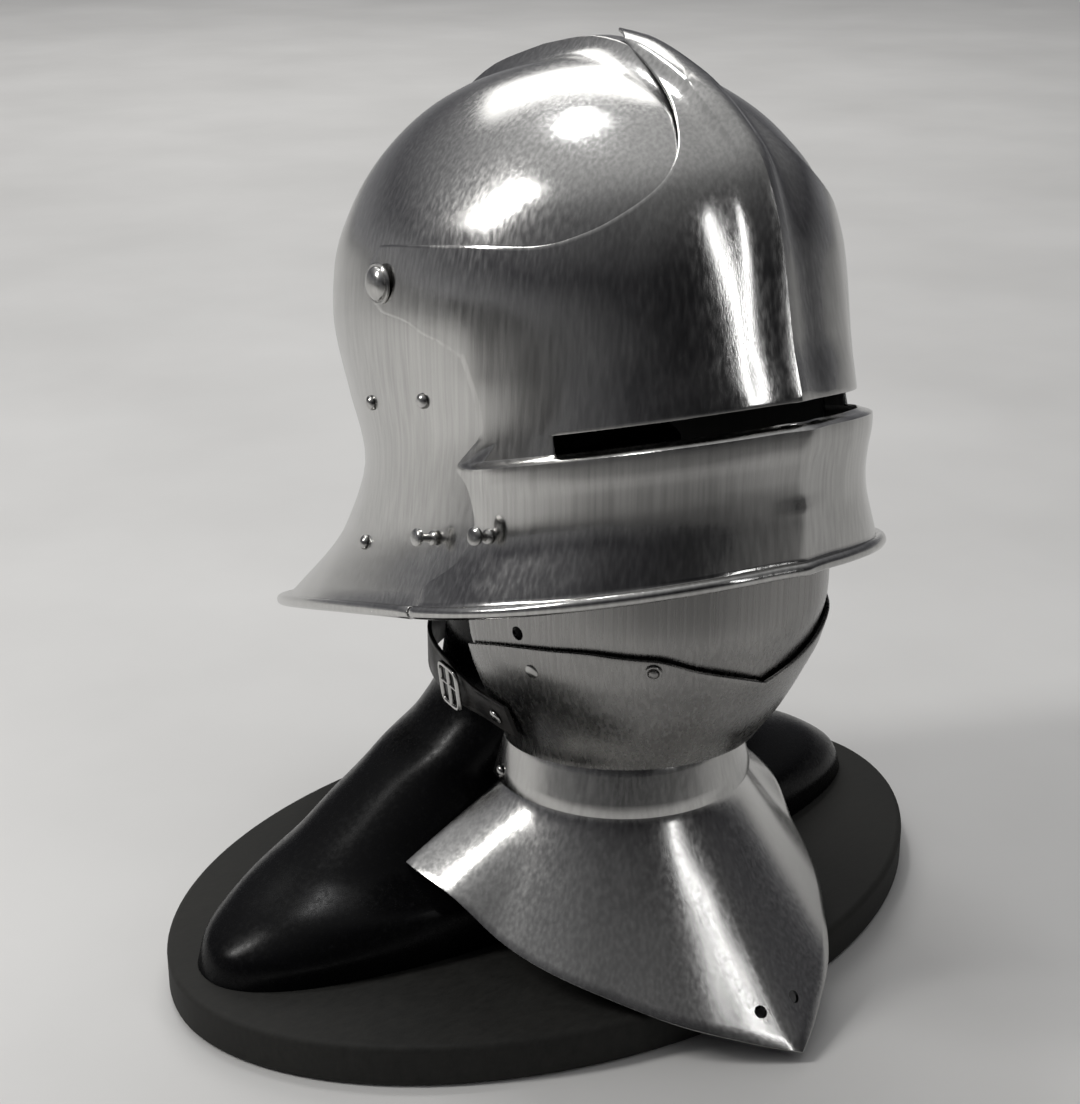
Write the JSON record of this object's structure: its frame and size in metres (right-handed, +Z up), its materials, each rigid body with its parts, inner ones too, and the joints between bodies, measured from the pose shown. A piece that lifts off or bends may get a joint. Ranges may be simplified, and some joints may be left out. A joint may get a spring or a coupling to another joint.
{
  "type": "sallet helmet with bevor on a neck stand",
  "caption": "Polished plate sallet with a pivoting slotted visor, over a bevor, neck collar and gorget plate on a black neck bust and oval board.",
  "frame": {"origin": "centre of the base board's underside", "axes": "+Z up, -Y towards the front of the helmet, +X towards the wearer's left"},
  "size_m": [0.442, 0.3939, 0.4602],
  "materials": {
    "steel": "polished by hand, with faint upright brushing",
    "leather": "smooth dyed strap leather",
    "gloss_black": "high gloss",
    "matt_black": "matt black paint"
  },
  "bodies": {
    "stand": {"skull": "steel", "visor_rivet_right": "steel", "visor_rivet_left": "steel", "lining_rivet_right_1": "steel", "lining_rivet_right_2": "steel", "lining_rivet_right_3": "steel", "lining_rivet_left_1": "steel", "lining_rivet_left_2": "steel", "lining_rivet_left_3": "steel", "skull_peg": "steel", "bevor_lower_plate": "steel", "bevor_rivet_right": "steel", "bevor_rivet_left": "steel", "catch_button": "steel", "collar": "steel", "gorget_plate": "steel", "collar_rivet_right": "steel", "collar_rivet_left": "steel", "neck_strap": "leather", "strap_rivet_right": "steel", "strap_rivet_left": "steel", "strap_buckle": "steel", "base_board": "matt_black", "neck_bust": "gloss_black", "head_post": "matt_black"},
    "visor": {"visor": "steel", "visor_peg": "steel"},
    "falling_plate": {"bevor_upper_plate": "steel"}
  },
  "joints": [
    {"name": "visor_hinge", "type": "hinge", "parent": "stand", "child": "visor", "pos_m": [0, -0.01652, 0.35157], "axis": [-0.9989, 0.0127, 0.0453], "range_deg": [0, 50]},
    {"name": "falling_plate_hinge", "type": "hinge", "parent": "stand", "child": "falling_plate", "pos_m": [0, -0.08918, 0.186], "axis": [1, 0, 0], "range_deg": [0, 2]}
  ]
}
